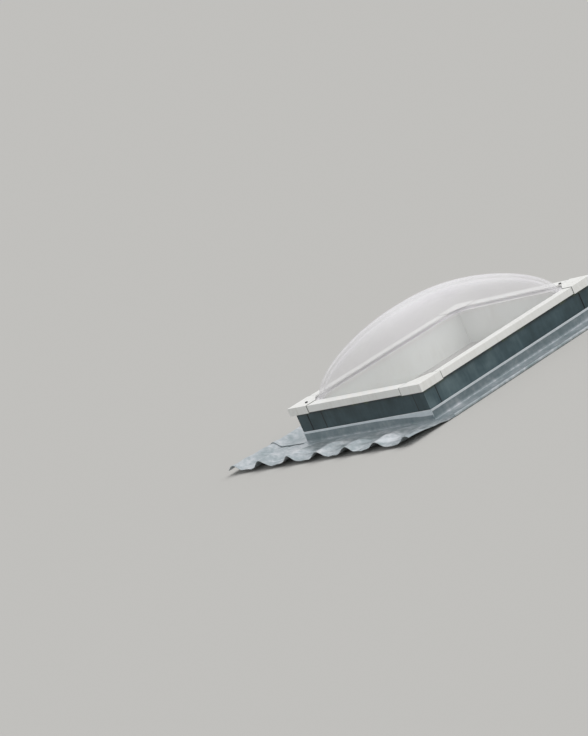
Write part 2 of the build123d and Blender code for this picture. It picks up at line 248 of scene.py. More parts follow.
def extruded_pvcu(name, tint, look, roughness, spread, joints=None):
    """Rigid PVC-u, extruded or moulded: satin, with rain streaks and a little grime.

    The spread is how far the streaks run from clean to soiled: a small one soils more.
    """
    made, tree = new_material(name)
    place = add(tree, "ShaderNodeTexCoord").outputs["Object"]
    clean = 0.22
    # Rain streaks 12 mm wide run down the upright faces, in clouds 180 mm wide
    run = add(tree, "ShaderNodeMapping", {"Vector": place, "Scale": (1.0, 1.0, 0.12)})
    both = 1.0
    for vector, width, detail in ((run, 12 * mm, 3.0), (place, 180 * mm, 5.0)):
        pattern = {"Vector": vector, "Scale": 1 / width, "Detail": detail}
        streaks = add(tree, "ShaderNodeTexNoise", pattern)
        both = add(tree, "ShaderNodeMath", [streaks, both], operation="MULTIPLY")
    stops = [(clean, tint), (clean + spread, look.soiled)]
    shade = add(tree, "ShaderNodeValToRGB", [both], stops)
    if joints:
        grime = joint_grime(tree, place, *joints)
        shade = overlaid(tree, shade, [(grime, look.joint_grime)])
    close_material(tree, {"Base Color": shade, "Roughness": roughness, "IOR": 1.53})
    return made


def coated_steel(name, look, joints):
    """Plastic-coated steel sheet, folded: even grey with chalky clouds of weathering, a painted
    reflection on the side towards +X and a painted shadow under the frame.
    """
    made, tree = new_material(name)
    place = add(tree, "ShaderNodeTexCoord").outputs["Object"]
    run = add(tree, "ShaderNodeMapping", {"Vector": place, "Scale": (1.0, 1.0, 0.2)})
    # Chalk lies in clouds 90 mm wide, with faint runs 16 mm wide. Moss grows in specks 30 mm
    # wide. The coating's orange-peel grain, 2.5 mm across, is coarser than the real 1 mm.
    clouds, runs, specks, grain = (
        add(tree, "ShaderNodeTexNoise", {"Vector": vector, "Scale": 1 / width, "Detail": detail})
        for vector, width, detail in (
            (place, 90 * mm, 6.0),
            (run, 16 * mm, 3.0),
            (place, 30 * mm, 5.0),
            (place, 2.5 * mm, 2.0),
        )
    )
    shares = {"Factor": 0.25, "A": clouds, "B": runs}
    chalk = add(tree, "ShaderNodeMix", shares, data_type="FLOAT")
    # A painted reflection of the sky lightens the face towards +X, most of all near the front
    split = add(tree, "ShaderNodeSeparateXYZ", [place])
    along, height = split.outputs["Y"], split.outputs["Z"]
    front_reflection = add(tree, "ShaderNodeMapRange", [along, -CLADDING_Y, CLADDING_Y, 0.36, 0.0])
    normal = add(tree, "ShaderNodeNewGeometry").outputs["Normal"]
    facing = add(tree, "ShaderNodeSeparateXYZ", [normal])
    towards = add(tree, "ShaderNodeMath", [facing, 0.0], operation="MAXIMUM")
    chalk_and_reflection = add(tree, "ShaderNodeMath", [towards, front_reflection, chalk], operation="MULTIPLY_ADD")
    # The lightest stop is the painted reflection on the side towards +X
    stops = [(0.35, look.cladding), (0.68, look.cladding_worn), (1.0, look.cladding_reflection)]
    shade = add(tree, "ShaderNodeValToRGB", [chalk_and_reflection], stops)
    # A painted shadow darkens a band just under the frame, and moss grows in specks in that band
    frame_shadow_band = (FASCIA_LEVEL - 20 * mm, FASCIA_LEVEL - 5 * mm)
    frame_shadow = add(tree, "ShaderNodeMapRange", [height, *frame_shadow_band, 0.0, 0.8])
    growth = add(tree, "ShaderNodeMapRange", [specks, 0.53, 0.62, 0.0, 1.0])
    moss = add(tree, "ShaderNodeMath", [growth, frame_shadow], operation="MULTIPLY")
    grime = joint_grime(tree, place, *joints)
    layers = [(grime, look.cladding_joint), (frame_shadow, look.frame_shadow_tint), (moss, look.moss)]
    shade = overlaid(tree, shade, layers)
    relief = {"Strength": 0.12, "Distance": 0.2 * mm, "Height": grain}
    bump = add(tree, "ShaderNodeBump", relief)
    finish = {"Base Color": shade, "Roughness": 0.5, "IOR": 1.5, "Normal": bump}
    close_material(tree, finish)
    return made


def sheet_lead(name, lead):
    """Milled sheet lead, dressed by hand: dull blue-grey with pale patina in clouds, painted shade
    on its upstand and painted highlights on its folded edge and creases.
    """
    made, tree = new_material(name)
    place = add(tree, "ShaderNodeTexCoord").outputs["Object"]
    # Patina lies in clouds 120 mm wide with blotches of 22 mm in them
    pattern = {"Vector": place, "Scale": 1 / (120 * mm), "Detail": 7.0, "Roughness": 0.62}
    clouds = add(tree, "ShaderNodeTexNoise", pattern)
    pattern = {"Vector": place, "Scale": 1 / (22 * mm), "Detail": 4.0}
    blotches = add(tree, "ShaderNodeTexNoise", pattern)
    shares = {"Factor": 0.4, "A": clouds, "B": blotches}
    bloom = add(tree, "ShaderNodeMix", shares, data_type="FLOAT")
    stops = [(0.34, lead.dark), (0.5, lead.patina), (0.68, lead.bright)]
    shade = add(tree, "ShaderNodeValToRGB", [bloom], stops)
    # The upstand is darkened with painted shade, where the painted light is below 0. Its
    # folded-back edge and the crests of the creases get a painted highlight, where it is above 0.
    wear = add(tree, "ShaderNodeAttribute", attribute_name="wear").outputs["Fac"]
    for strength, tint in ((-0.55, lead.upstand_shade), (0.7, lead.rubbed)):
        both = [wear, strength]
        share = add(tree, "ShaderNodeMath", both, operation="MULTIPLY", use_clamp=True)
        shade = overlaid(tree, shade, [(share, tint)])
    rough = add(tree, "ShaderNodeMapRange", [blotches, 0.3, 0.7, 0.3, 0.46])
    # Marks of the dressing tool, about 9 mm apart
    pattern = {"Vector": place, "Scale": 1 / (9 * mm)}
    marks = add(tree, "ShaderNodeTexVoronoi", pattern, feature="SMOOTH_F1")
    relief = {"Strength": 0.25, "Distance": 0.5 * mm, "Height": marks}
    bump = add(tree, "ShaderNodeBump", relief)
    finish = {"Base Color": shade, "Metallic": lead.metallic, "Roughness": rough, "Normal": bump}
    close_material(tree, finish)
    return made


def plain_material(name, tint, roughness, metallic=0.0):
    """A small or hidden piece's even finish, whose gloss varies in specks of 6 mm."""
    made, tree = new_material(name)
    place = add(tree, "ShaderNodeTexCoord").outputs["Object"]
    vary = 0.15
    pattern = {"Vector": place, "Scale": 1 / (6 * mm), "Detail": 3.0}
    grain = add(tree, "ShaderNodeTexNoise", pattern)
    limits = (roughness * (1 - vary), roughness * (1 + vary))
    rough = add(tree, "ShaderNodeMapRange", [grain, 0.0, 1.0, *limits])
    close_material(tree, {"Base Color": tint, "Metallic": metallic, "Roughness": rough})
    return made


def new_tree(name, sizes):
    """A geometry node tree with a geometry in and out, named sizes and a material."""
    tree = bpy.data.node_groups.new(name, "GeometryNodeTree")
    face = tree.interface
    kinds = {"Geometry": "Geometry", **dict.fromkeys(sizes, "Float"), "Material": "Material"}
    for socket, kind in kinds.items():
        face.new_socket(socket, in_out="INPUT", socket_type=f"NodeSocket{kind}")
    face.new_socket("Geometry", in_out="OUTPUT", socket_type="NodeSocketGeometry")
    entry = add(tree, "NodeGroupInput")
    return tree, {socket.name: socket for socket in entry.outputs if socket.name}


def grown(name, tree, values, start=None):
    """Run a tree on an object, keep the result as its plain mesh and drop the modifier."""
    obj = bpy.data.objects.new(name, start or bpy.data.meshes.new(name))
    bpy.context.scene.collection.objects.link(obj)
    modifier = obj.modifiers.new(name, "NODES")
    modifier.node_group = tree
    for item in tree.interface.items_tree:
        if item.in_out == "INPUT" and item.name in values:
            modifier[item.identifier] = values[item.name]
    graph = bpy.context.evaluated_depsgraph_get()
    mesh = bpy.data.meshes.new_from_object(obj.evaluated_get(graph))
    obj.modifiers.clear()
    obj.data = mesh
    mesh.name = name
    return obj


def finish_tree(tree, geometry, sizes):
    """End a tree in realised instances and the material, shaded smooth."""
    real = add(tree, "GeometryNodeRealizeInstances", [geometry])
    smooth = add(tree, "GeometryNodeSetShadeSmooth", [real])
    finish = {"Geometry": smooth, "Material": sizes["Material"]}
    add(tree, "NodeGroupOutput", [add(tree, "GeometryNodeSetMaterial", finish)])


def dome_tree(sizes):
    """One moulded skin: a grid wrapped over the outside and back under the inside.

    A grid's x goes round the plan. Its y runs from the crown's inside, down under the flange,
    over its rim and up to the crown's outside.
    """
    tree, known = new_tree("Moulded skin", sizes)
    grid = add(tree, "GeometryNodeMeshGrid", [1.0, 1.0, AROUND + 1, 2 * ROWS])
    place = add(tree, "GeometryNodeInputPosition")
    split = add(tree, "ShaderNodeSeparateXYZ", [place])
    known["x"], known["y"] = split.outputs[0], split.outputs[1]
    # How far a square's corner is cut back by a circle inside it, as a share of its half
    corner_share = 1 - math.sqrt(0.5)
    steps = [
        ("turn", "MULTIPLY", "x", 2 * math.pi),
        ("cosine", "COSINE", "turn"),
        ("sine", "SINE", "turn"),
        ("abs cosine", "ABSOLUTE", "cosine"),
        ("abs sine", "ABSOLUTE", "sine"),
        ("outside", "GREATER_THAN", "y", 0.0),
        ("inside", "SUBTRACT", 1.0, "outside"),
        ("far", "ABSOLUTE", "y"),
        ("row", "MULTIPLY_ADD", "far", 2.0 * ROWS - 1, -0.5),
        ("on dome", "GREATER_THAN", "row", 0.5),
        ("past foot", "SUBTRACT", "row", 1.0),
        ("share", "DIVIDE", "past foot", ROWS - 2.0),
        ("climb", "MAXIMUM", "share", 0.0),
        ("to go", "SUBTRACT", 1.0, "climb"),
        ("eased", "POWER", "to go", "Plan power"),
        ("level", "SUBTRACT", 1.0, "eased"),
        ("height term", "POWER", "level", "Height power"),
        ("plan term", "SUBTRACT", 1.0, "height term"),
        ("plan root", "DIVIDE", 1.0, "Plan power"),
        ("swell", "POWER", "plan term", "plan root"),
        ("thinner", "MULTIPLY", "Skin", "inside"),
        ("half x", "SUBTRACT", "Half width", "thinner"),
        ("half y", "SUBTRACT", "Half length", "thinner"),
        ("turn rounder", "POWER", "level", "Roundness power"),
        ("rounder", "SUBTRACT", "Crown roundness", "Foot roundness"),
        ("roundness", "MULTIPLY_ADD", "rounder", "turn rounder", "Foot roundness"),
        ("corner", "MULTIPLY_ADD", "roundness", -corner_share, 1.0),
        ("corner log", "LOGARITHM", "corner", math.e),
        ("power", "DIVIDE", -math.log(2), "corner log"),
        ("x share", "DIVIDE", "abs cosine", "half x"),
        ("y share", "DIVIDE", "abs sine", "half y"),
        ("x term", "POWER", "x share", "power"),
        ("y term", "POWER", "y share", "power"),
        ("terms", "ADD", "x term", "y term"),
        ("root", "DIVIDE", -1.0, "power"),
        ("plan radius", "POWER", "terms", "root"),
        ("dome radius", "MULTIPLY", "plan radius", "swell"),
        ("x edge", "DIVIDE", "abs cosine", "Flange half width"),
        ("y edge", "DIVIDE", "abs sine", "Flange half length"),
        ("edge", "MAXIMUM", "x edge", "y edge"),
        ("flange radius", "DIVIDE", 1.0, "edge"),
        ("inward", "SUBTRACT", "dome radius", "flange radius"),
        ("radius", "MULTIPLY_ADD", "inward", "on dome", "flange radius"),
        ("foot", "MULTIPLY_ADD", "Skin", "outside", "Foot level"),
        ("full rise", "MULTIPLY_ADD", "Skin", -1.0, "Rise"),
        ("height", "MULTIPLY_ADD", "full rise", "level", "foot"),
        ("place x", "MULTIPLY", "radius", "cosine"),
        ("place y", "MULTIPLY", "radius", "sine"),
    ]
    for name, operation, *values in steps:
        inputs = [known.get(value, value) for value in values]
        known[name] = add(tree, "ShaderNodeMath", inputs, operation=operation)
    parts = [known["place x"], known["place y"], known["height"]]
    moved = add(tree, "ShaderNodeCombineXYZ", parts)
    shaped = add(tree, "GeometryNodeSetPosition", {"Geometry": grid, "Position": moved})
    near = {"Geometry": shaped, "Distance": MERGED}
    finish_tree(tree, add(tree, "GeometryNodeMergeByDistance", near), known)
    return tree


def fastener_tree(name, steps, sides):
    """Round heads on points: a disc drawn up in steps, each a share of height and of width."""
    tree, known = new_tree(name, ("Radius", "Height"))
    circle = {"Vertices": sides, "Radius": known["Radius"]}
    disc = add(tree, "GeometryNodeMeshCircle", circle, fill_type="NGON")
    under = add(tree, "GeometryNodeFlipFaces", [disc])
    body, top = disc, None
    for rise, narrowing in steps:
        lift = add(tree, "ShaderNodeMath", [known["Height"], rise], operation="MULTIPLY")
        lifted = {"Mesh": body, "Selection": top, "Offset Scale": lift}
        drawn = add(tree, "GeometryNodeExtrudeMesh", lifted, mode="FACES")
        top = drawn.outputs["Top"]
        narrowed = {"Geometry": drawn, "Selection": top, "Scale": narrowing}
        body = add(tree, "GeometryNodeScaleElements", narrowed)
    joined = add(tree, "GeometryNodeJoinGeometry")
    for piece in (body, under):
        tree.links.new(piece.outputs[0], joined.inputs[0])
    near = {"Geometry": joined, "Distance": MERGED}
    closed = add(tree, "GeometryNodeMergeByDistance", near)
    placed = {"Points": known["Geometry"], "Instance": closed}
    finish_tree(tree, add(tree, "GeometryNodeInstanceOnPoints", placed), known)
    return tree


def islands(node):
    """The box of each separate solid in a CAD node, as its lowest and highest corner."""
    copy = bmesh.new()
    copy.from_mesh(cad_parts[node].data)
    bmesh.ops.remove_doubles(copy, verts=copy.verts, dist=0.001 * mm)
    left = set(copy.verts)
    boxes = []
    while left:
        group, edge = set(), [left.pop()]
        while edge:
            vert = edge.pop()
            group.add(vert)
            for link in vert.link_edges:
                other = link.other_vert(vert)
                if other in left:
                    left.remove(other)
                    edge.append(other)
        low = Vector(min(v.co[k] for v in group) for k in range(3))
        high = Vector(max(v.co[k] for v in group) for k in range(3))
        boxes.append((low, high))
    copy.free()
    return sorted(boxes, key=lambda pair: tuple(pair[0]))


def evenly(low, high, count):
    """Values at even steps from a low one to a high one."""
    return [low + (high - low) * i / count for i in range(count + 1)]


def clamped(value):
    """A value held between 0 and 1."""
    return min(max(value, 0.0), 1.0)


def eased(share):
    """A share from 0 to 1 that starts and ends softly."""
    return share * share * (3 - 2 * share)


def rounded_path(points, radius):
    """A path in a section with its corners turned on arcs."""
    path = [Vector(points[0])]
    for before, corner, after in zip(points, points[1:], points[2:]):
        corner = Vector(corner)
        back = Vector(before) - corner
        ahead = Vector(after) - corner
        reach = min(radius, back.length / 2, ahead.length / 2)
        start = corner + back.normalized() * reach
        end = corner + ahead.normalized() * reach
        for t in evenly(0.0, 1.0, ARC_STEPS):
            path.append(start.lerp(corner, t).lerp(corner.lerp(end, t), t))
    path.append(Vector(points[-1]))
    return path


def with_steps(path):
    """The same path with points added so that no step across the sheet is too long."""
    finer = [path[0]]
    for before, after in zip(path, path[1:]):
        count = max(1, math.ceil((after - before).length / STEP_ACROSS))
        finer += [before.lerp(after, k / count) for k in range(1, count + 1)]
    return finer


def sheet_mesh(bm, grid, thickness):
    """Add a closed sheet of a thickness over a grid of places on its middle."""
    wide, deep = len(grid), len(grid[0])
    top, under = [], []
    for i in range(wide):
        for j in range(deep):
            along = grid[min(i + 1, wide - 1)][j] - grid[max(i - 1, 0)][j]
            across = grid[i][min(j + 1, deep - 1)] - grid[i][max(j - 1, 0)]
            normal = along.cross(across).normalized() * (thickness / 2)
            top.append(bm.verts.new(grid[i][j] + normal))
            under.append(bm.verts.new(grid[i][j] - normal))

    def wall(a, b):
        bm.faces.new((top[a], under[a], under[b], top[b]))

    for i in range(wide - 1):
        for j in range(deep - 1):
            a = i * deep + j
            quad = (a, a + deep, a + deep + 1, a + 1)
            bm.faces.new([top[k] for k in quad])
            bm.faces.new([under[k] for k in reversed(quad)])
    for i in range(wide - 1):
        wall(i * deep, (i + 1) * deep)
        wall((i + 2) * deep - 1, (i + 1) * deep - 1)
    for j in range(deep - 1):
        wall(j + 1, j)
        wall((wide - 1) * deep + j, (wide - 1) * deep + j + 1)


def on_side(side, along, out, height):
    """A place on a side: along its run, outward from its cladding, and up from the foot."""
    outward, run, face = SIDE_FACES[side]
    return outward * (face + out) + run * along + Vector((0, 0, height))


def dent(place, size, depth):
    """Depth of the hand dressing at a place: two sizes of shallow dents."""
    coarse = noise.noise(place / size)
    fine = noise.noise(place / (size * FINE_SIZE) + Vector((7.0, 3.0, 1.0)))
    return depth * ((1 - FINE_SHARE) * coarse + FINE_SHARE * fine)


def crease(place):
    """Share of a long shallow crease at a place; the creases run askew over the sheet."""
    askew = place.x - CREASE_SKEW * place.y
    return abs(noise.noise(Vector((askew / CREASE_PITCH, place.y / CREASE_RUN, 5.0))))


def painted_lead_light(place):
    """Painted light on the lead at a place: -1 painted shade, 0 plain, 1 painted highlight."""
    out = max(abs(place.x) - CLADDING_X, abs(place.y) - CLADDING_Y)
    if place.z > STAND_FOOT and out < STAND_REACH:
        return 1.0 if out > WELT_REACH and place.z > WELT_FOOT else -1.0
    if place.y < -CLADDING_Y - HIGHLIGHT_FROM:
        patch = min(HIGHLIGHT_GAIN * max(noise.noise(place / HIGHLIGHT_PATCH), 0.0), 1.0)
        return patch * max(1 - crease(place) / CREASE_WIDTH, 0.0)
    return 0.0


def stand_for(made, node, sharp):
    """Sharpen the edges past an angle in degrees, and let the piece stand for a CAD node."""
    made.data.set_sharp_from_angle(angle=math.radians(sharp))
    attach(made, "root")
    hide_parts(node)


def upstand_path(lead, welt):
    """The upstand from its welt down to its foot, as pairs of outward and height."""
    half = lead.thickness / 2
    head = RIGHT_HIGH.z - half
    fold = half + lead.thickness + lead.welt_gap
    return [(fold + lead.welt_lean, head - welt), (fold, head), (half, head), (half, half)]


def gutter_path(lead, width):
    """The gutter's turned-up edge with its welt, at a width from the cladding."""
    half = lead.thickness / 2
    out, rim = width - half, lead.rim - half
    return [(out, half), (out, rim), (out - lead.welt, rim)]


def strip_grid(side, sections, low, high, lead, lapped=False):
    """A grid for a straight length of folded sheet, from its sections at even steps."""
    outward = SIDE_FACES[side][0]
    grid = []
    for along, section in zip(evenly(low, high, len(sections) - 1), sections):
        column = []
        for out, height in section:
            place = on_side(side, along, out, height)
            push = abs(dent(place, STRIP_DENT, lead.dent))
            if out <= lead.fold_radius * 2:
                place += outward * push * STAND_DENT_SHARE
            else:
                place.z += push
                if lapped:
                    place.z = lapped_height(lead, place)
            column.append(place)
        grid.append(column)
    return grid


def even_strip(side, path, low, high, lead, lapped=False):
    """A grid for a strip whose section stays the same."""
    count = round((high - low) / STEP_ALONG)
    return strip_grid(side, [path] * (count + 1), low, high, lead, lapped)


def roll_crests(lead):
    """Places of the rolls on X, from the left edge to past the right one."""
    crest, crests = lead.first_crest, []
    while crest - lead.roll_width / 2 < APRON_HIGH.x:
        crests.append(crest)
        crest += lead.roll_pitch
    return crests


def roll_rise(lead, distance):
    """Height of a dressed roll at a distance from its crest line."""
    if abs(distance) >= lead.roll_width / 2:
        return 0.0
    share = (1 + math.cos(2 * math.pi * distance / lead.roll_width)) / 2
    return lead.roll_height * share**lead.roll_power


def apron_place(lead, crests, x, distance):
    """A place on the middle of the apron, at a distance from the fold at the kerb."""
    reach = APRON_HIGH.y - APRON_LOW.y
    # The roll at the left runs on beside the kerb; the others grow from the fold
    beside = x < lead.first_crest + lead.roll_width / 2
    follows = 1.0 if beside else eased(min(distance / lead.dressing, 1.0))
    rolls = sum(roll_rise(lead, x - crest) for crest in crests)
    height = lead.thickness / 2 + rolls * follows + lead.tail_rise * distance / reach
    place = Vector((x, -CLADDING_Y - distance, height))
    uneven = min(distance / CALM, 1.0)
    place.z += abs(dent(place, APRON_DENT, lead.dent)) * uneven
    place.z += crease(place) * lead.crease * uneven
    return place


def lapped_height(lead, place):
    """Height of the left flashing's middle, whose lower end is lifted onto the apron."""
    distance = -place.y - CLADDING_Y
    lifted = clamped((distance + lead.lap_lift) / lead.lap_lift)
    if lifted == 0.0:
        return place.z
    below = apron_place(lead, roll_crests(lead), place.x, max(distance, 0.0)).z
    return place.z + (below + lead.thickness + lead.lap_gap - place.z) * eased(lifted)


def stand_half(lead):
    """Half the width of the front and back upstands, which wrap the side ones."""
    return CLADDING_X + 2 * lead.thickness + lead.welt_gap


def dress(node, material):
    """Give a CAD node its material through its slots; its mesh stays as it is."""
    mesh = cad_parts[node].data
    mesh.materials.clear()
    mesh.materials.append(material)


def number(name, description, default, **kind):
    """A setting for a number, plain or of a kind."""
    return FloatProperty(name=name, description=description, default=default, **kind)


def length(name, description, default):
    """A setting for a size in metres."""
    return number(name, description, default, unit="LENGTH")


def portion(name, description, default):
    """A setting between 0 and 1."""
    return number(name, description, default, min=0.0, max=1.0, subtype="FACTOR")


def angle(name, description, degrees):
    """A setting for an angle."""
    return number(name, description, math.radians(degrees), subtype="ANGLE")


def paint(name, description, code):
    """A setting for a colour, whose default is an sRGB hex code."""
    kind = {"size": 4, "min": 0.0, "max": 1.0, "subtype": "COLOR"}
    return FloatVectorProperty(name=name, description=description, default=colour(code), **kind)


class RooflightDome(bpy.types.PropertyGroup):
    """Sizes and finish of the two dome skins"""

    outer_skin: length("Outer skin", "Thickness of the outer sheet", 3 * mm)
    inner_skin: length("Inner skin", "Thickness of the inner sheet", 2.5 * mm)
    clearance: length("Clearance", "Gap from capping to dome", 3 * mm)
    skin_gap: length("Air gap", "Gap between the two sheets", 14 * mm)
    corner_radius: length("Corner radius", "Plan radius at the foot", 140 * mm)
    crown_roundness: portion("Crown roundness", "Share of the crown's plan that is round", 0.95)
    roundness_power: number("Roundness power", "How late the plan turns round", 2.5)
    height_power: number("Height power", "Power of the height in the profile", 1.4)
    plan_power: number("Plan power", "Power of the width in the profile", 2.8)
    tint: paint("Tint", "Colour of the clean sheet", "fbfafc")
    veil: paint("Veil", "Colour of the weathered film", "f2eff4")
    cover: portion("Cover", "Share of each face that stops the light", 0.08)
    gloss: portion("Gloss", "Share that the gloss adds to it at a flat angle", 0.92)
    roughness: portion("Roughness", "Roughness of the sheet", 0.06)


class RooflightFrame(bpy.types.PropertyGroup):
    """Finish of frame and kerb, and sizes of the small fixings"""

    white: paint("White", "Colour of the frame", "f1f1ee")
    soiled: paint("Soiled", "Colour of its rain streaks", "dcdbd4")
    joint_grime: paint("Joint grime", "Colour of the grime in its joints", "82847f")
    liner: paint("Liner", "Colour of the kerb's inside", "f2f6f2")
    cladding: paint("Cladding", "Colour of the coated sheet", "26383b")
    cladding_worn: paint("Cladding, weathered", "Its weathered colour", "40545a")
    # Painted reflection on the side towards +X
    cladding_reflection: paint("Cladding, painted reflection", "Its colour where a reflection is painted on the side towards +X", "66797d")
    cladding_joint: paint("Cladding joints", "Colour of the dirt in its joints", "161b1d")
    # Painted shadow on the cladding just under the frame
    frame_shadow_tint: paint("Frame shadow", "Colour of the painted shadow under the frame", "171c1b")
    moss: paint("Moss", "Colour of the moss under the frame", "5d6b4c")
    cover_radius: length("Cover radius", "Radius of a white screw cover", 8.5 * mm)
    cover_height: length("Cover height", "Height of a white screw cover", 1.5 * mm)
    black_radius: length("Black cover radius", "Radius of a black screw cover", 7 * mm)
    black_height: length("Black cover height", "Height of a black screw cover", 5 * mm)
    screw_radius: length("Screw radius", "Radius of a screw's head", 4.5 * mm)
    screw_height: length("Screw height", "Height of a screw's head", 1.8 * mm)


class RooflightFlashing(bpy.types.PropertyGroup):
    """Sizes and finish of the dressed lead"""

    thickness: length("Thickness", "Thickness of the sheet", 1.8 * mm)
    roll_pitch: length("Roll pitch", "Pitch of the dressed rolls", 200 * mm)
    roll_width: length("Roll width", "Width of a dressed roll", 150 * mm)
    roll_power: number("Roll power", "How slim the rolls are towards their crest", 1.5)
    roll_height: length("Roll height", "Height of a dressed roll", 28 * mm)
    first_crest: length("First crest", "Place of the first roll on X", -660 * mm)
    tail_rise: length("Tail rise", "How far the tail lifts", 12 * mm)
    dressing: length("Dressing", "Length over which rolls grow", 220 * mm)
    fold_radius: length("Fold radius", "Radius of the folds", 5 * mm)
    rim: length("Rim", "Height of the gutters' turned-up edge", 14 * mm)
    welt: length("Welt", "Depth of the folded-back edge", 9 * mm)
    wide_welt: length("Wide welt", "Depth of the front welt at the right", 24 * mm)
    widening: length("Widening", "Length over which the front welt widens", 400 * mm)
    welt_gap: length("Welt gap", "Gap inside the welt", 0.4 * mm)
    welt_lean: length("Welt lean", "How far the welt's edge stands off", 0.35 * mm)
    lap: length("Lap", "How far the left sheet laps the apron", 20 * mm)
    lap_lift: length("Lap lift", "Length over which the lap lifts", 35 * mm)
    lap_gap: length("Lap gap", "Gap under the lapping edge", 2.5 * mm)
    crease: length("Crease", "Height of the long creases", 9 * mm)
    dent: length("Dent", "Depth of the dressing dents", 1.4 * mm)
    patina: paint("Patina", "Main colour of the lead", "b3bcc0")
    dark: paint("Dark", "Colour of its dark clouds", "93a1a4")
    bright: paint("Bright", "Colour of its pale bloom", "e2e4e7")
    # Painted shade on the upstand
    upstand_shade: paint("Upstand shade", "Colour of the painted shade on the upstand", "657579")
    # Painted highlight on the folded edge and along the creases of the apron
    rubbed: paint("Painted highlight", "Colour of its rubbed edges", "e2e8ec")
    metallic: portion("Metallic", "Share of bare metal under the patina", 0.6)


class RooflightStage(bpy.types.PropertyGroup):
    """Floor, light and camera"""

    floor: paint("Floor", "Colour of the floor", "c4c3c0")
    sky: number("Sky", "Strength of the light from all round", 0.56)
    sun: number("Sun", "Strength of the soft key light", 1.5)
    softness: angle("Softness", "How wide the soft key light is", 70)
    azimuth: angle("Azimuth", "Camera's turn round the part", 52.581)
    elevation: angle("Elevation", "Camera's angle above the XY plane", 9.625)
    roll: angle("Roll", "Camera's turn about its line of sight", -24.126)
    distance: length("Distance", "Camera's distance from its target", 13.4625)
    lens: number("Lens", "Focal length in mm", 137.43, unit="CAMERA")


class RooflightOperator:
    """What all the operators share"""

    bl_options = {"REGISTER", "UNDO"}


class ROOFLIGHT_OT_dome(RooflightOperator, bpy.types.Operator):
    """Mould both skins of the dome from one tree of nodes"""

    bl_idname = "rooflight.dome"
    bl_label = "Dome skins"

    def execute(self, context):
        dome = context.scene.rooflight_dome
        sheet = moulded_polycarbonate("Blown clear polycarbonate", dome)
        tree = None
        step_in = dome.outer_skin + dome.skin_gap
        skins = {
            "dome_outer": (0.0, dome.outer_skin, OUTER_LOW, OUTER_HIGH),
            "dome_inner": (step_in, dome.inner_skin, INNER_LOW, INNER_HIGH),
        }
        for node, (inset, skin, low, high) in skins.items():
            half = CAPPING_INNER_X - dome.clearance - inset
            sizes = {
                "Half width": half,
                "Half length": CAPPING_INNER_Y - dome.clearance - inset,
                "Flange half width": high.x,
                "Flange half length": high.y,
                "Foot level": low.z,
                "Rise": high.z - low.z,
                "Skin": skin,
                "Foot roundness": (dome.corner_radius - inset) / half,
                "Crown roundness": dome.crown_roundness,
                "Roundness power": dome.roundness_power,
                "Height power": dome.height_power,
                "Plan power": dome.plan_power,
            }
            # Both skins come from one tree
            tree = tree or dome_tree(sizes)
            made = grown(f"{node}_sheet", tree, {**sizes, "Material": sheet})
            stand_for(made, node, 40)
        return {"FINISHED"}


class ROOFLIGHT_OT_frame(RooflightOperator, bpy.types.Operator):
    """Finish capping, corner caps and base rails in white, and the kerb in its liner colour"""

    bl_idname = "rooflight.frame"
    bl_label = "Frame and kerb"

    def execute(self, context):
        look = context.scene.rooflight_frame
        cap_low, cap_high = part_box("corner_cap_front_right")
        joints = (cap_low.x, -cap_high.y)
        white = extruded_pvcu("White extruded PVC-u", look.white, look, 0.34, 0.5)
        moulded = extruded_pvcu("White moulded PVC-u", look.white, look, 0.42, 0.4, joints)
        liner = extruded_pvcu("Pale PVC-u hollow panel", look.liner, look, 0.38, 0.6)
        # The seal is matt black rubber, the tapes are matt white foam
        seal = plain_material("EPDM rubber", colour("1b1b1c"), 0.6)
        tape = plain_material("White silicone foam tape", colour("ececea"), 0.6)
        for side in SIDES:
            dress(f"capping_{side}", white)
            dress(f"base_rail_{side}", white)
            dress(f"kerb_{side}", liner)
        for corner in CORNERS:
            dress(f"corner_cap_{corner}", moulded)
        dress("kerb_seal", seal)
        for node in ("inner_gasket", "skin_spacer"):
            dress(node, tape)
        return {"FINISHED"}


class ROOFLIGHT_OT_fixings(RooflightOperator, bpy.types.Operator):
    """Set the screws of the frame and the caps that cover them"""

    bl_idname = "rooflight.fixings"
    bl_label = "Screws and covers"

    def execute(self, context):
        look = context.scene.rooflight_frame
        # Moulded caps are satin and even; a cold-headed screw is bright with soft gloss
        white = plain_material("White moulded polypropylene cap", look.white, 0.4)
        black = plain_material("Black moulded polypropylene cap", colour("171819"), 0.45)
        steel = plain_material("Stainless steel, cold headed", colour("9b9d9f"), 0.32, 1.0)
        # The steps of each head. The last two of a screw's sink the socket for the driver.
        flat = [(0.35, 0.97), (0.4, 0.86), (0.25, 0.5)]
        tall = [(0.6, 0.96), (0.3, 0.88), (0.1, 0.6)]
        sunk = [(0.7, 0.97), (0.3, 0.7), (0.0, 0.55), (-0.7, 0.9)]
        # Material, slot, what its radius and height are called, steps and sides
        pieces = {
            "screw_covers": (white, "frame_white", "cover", flat, 32),
            "black_screw_covers": (black, "seal_black", "black", tall, 32),
            "frame_screws": (steel, "screw_steel", "screw", sunk, 24),
        }
        for node, (material, slot, head, steps, sides) in pieces.items():
            radius, height = getattr(look, f"{head}_radius"), getattr(look, f"{head}_height")
            heads = [((a.x + b.x) / 2, (a.y + b.y) / 2, b.z - height) for a, b in islands(node)]
            points = bpy.data.meshes.new(node)
            points.from_pydata(heads, [], [])
            tree = fastener_tree(node, steps, sides)
            values = {"Radius": radius, "Height": height, "Material": material}
            stand_for(grown(f"{node}_heads", tree, values, points), node, 30)
        return {"FINISHED"}


